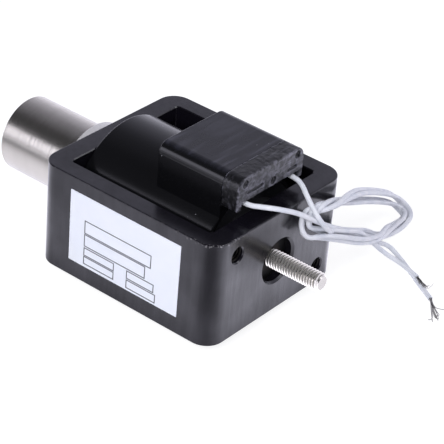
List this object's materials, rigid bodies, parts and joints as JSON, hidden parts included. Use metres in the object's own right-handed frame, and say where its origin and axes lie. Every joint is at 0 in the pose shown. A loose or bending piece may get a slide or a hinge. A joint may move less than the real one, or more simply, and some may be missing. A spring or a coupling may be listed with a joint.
{
  "type": "push pull solenoid",
  "caption": "Push pull solenoid: moulded coil in a thick rectangular steel frame, sliding steel plunger at the rear, threaded push rod at the front, and flying leads in a loose loop.",
  "frame": {"origin": "on the plunger's axis, in the plane of the frame's front mounting face", "axes": "+X the way the push rod points, +Z the side with the terminal block, -Y the side with the label"},
  "size_m": [0.1387, 0.111, 0.0534],
  "materials": {
    "frame_black": "satin black, faint rolled texture",
    "label_white": "plain white sticker",
    "coil_black": "glossy black moulding",
    "cover_black": "mottled black moulding",
    "plunger_steel": "turned, bright",
    "bush_bright": "plated, bright",
    "rod_steel": "threaded, bright",
    "core_steel": "turned",
    "bobbin_plastic": "moulded",
    "winding_copper": "enamelled copper",
    "tape_yellow": "insulating tape",
    "tube_brass": "drawn",
    "bearing_dark": "sintered bronze, dark with oil",
    "washer_brass": "stamped",
    "tag_tin": "tinned",
    "lead_white": "bluish white insulation",
    "strand_tinned": "bare tinned strands"
  },
  "bodies": {
    "stator": {"frame": "frame_black", "label": "label_white", "bobbin": "bobbin_plastic", "winding": "winding_copper", "winding_tape": "tape_yellow", "coil_moulding": "coil_black", "terminal_cover": "cover_black", "terminal_tags": "tag_tin", "guide_tube": "tube_brass", "fixed_core": "core_steel", "rod_bush": "bearing_dark", "gap_washer": "washer_brass", "rear_bush": "bush_bright", "near_lead": "lead_white", "far_lead": "lead_white", "lead_hank": "lead_white", "near_tail": "lead_white", "far_tail": "lead_white", "near_strands": "strand_tinned", "far_strands": "strand_tinned"},
    "armature": {"plunger": "plunger_steel", "push_rod": "rod_steel"}
  },
  "joints": [
    {"name": "plunger_stroke", "type": "slide", "parent": "stator", "child": "armature", "axis": [1, 0, 0], "range_m": [0, 0.02]}
  ]
}
